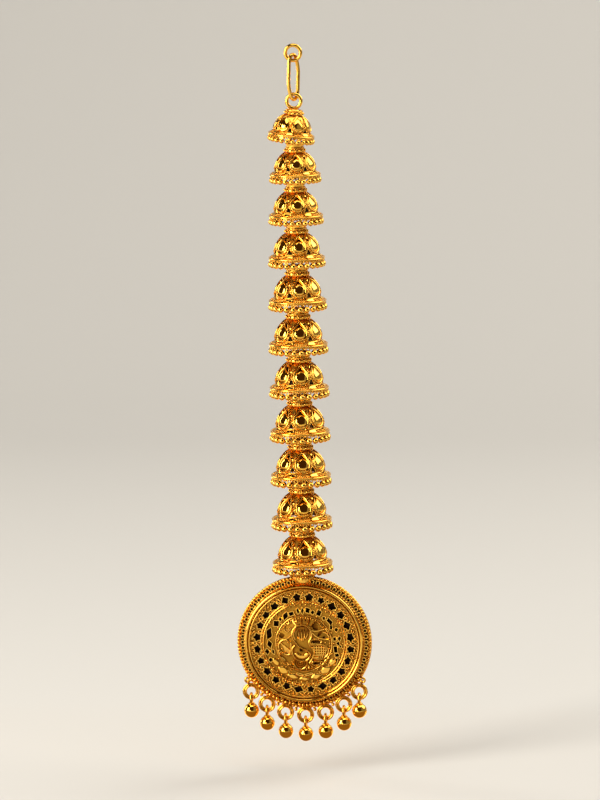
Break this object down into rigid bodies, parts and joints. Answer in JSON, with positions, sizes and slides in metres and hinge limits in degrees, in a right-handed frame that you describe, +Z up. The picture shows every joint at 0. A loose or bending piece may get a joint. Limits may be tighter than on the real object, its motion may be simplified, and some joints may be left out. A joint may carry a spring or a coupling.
{
  "type": "maang tikka",
  "caption": "Gold maang tikka: a ring and oval link carry a chain of open beaded bells and a round pierced pendant with ball drops.",
  "frame": {"origin": "inside of the top ring's crown, where the hair hook carries the jewel", "axes": "+Z up along the hanging chain; the pendant's face looks towards -Y; +X to the viewer's right"},
  "size_m": [0.0304, 0.014, 0.1568],
  "materials": {
    "gold": "polished yellow gold, with frosted filigree"
  },
  "bodies": {
    "chain": {"top_ring": "gold", "oval_link": "gold", "bell_01": "gold", "bell_02": "gold", "bell_03": "gold", "bell_04": "gold", "bell_05": "gold", "bell_06": "gold", "bell_07": "gold", "bell_08": "gold", "bell_09": "gold", "bell_10": "gold", "bell_11": "gold"},
    "pendant_link": {"pendant_link": "gold"},
    "pendant": {"pendant": "gold", "drop_1": "gold", "drop_2": "gold", "drop_3": "gold", "drop_4": "gold", "drop_5": "gold", "drop_6": "gold", "drop_7": "gold"}
  },
  "joints": [
    {"name": "sideways_swing", "type": "hinge", "parent": "chain", "child": "pendant_link", "pos_m": [0, 0, -0.11385], "axis": [0, 1, 0], "range_deg": [-10, 10]},
    {"name": "fore_aft_swing", "type": "hinge", "parent": "pendant_link", "child": "pendant", "pos_m": [0, 0, -0.11615], "axis": [1, 0, 0], "range_deg": [-22, 22]}
  ]
}
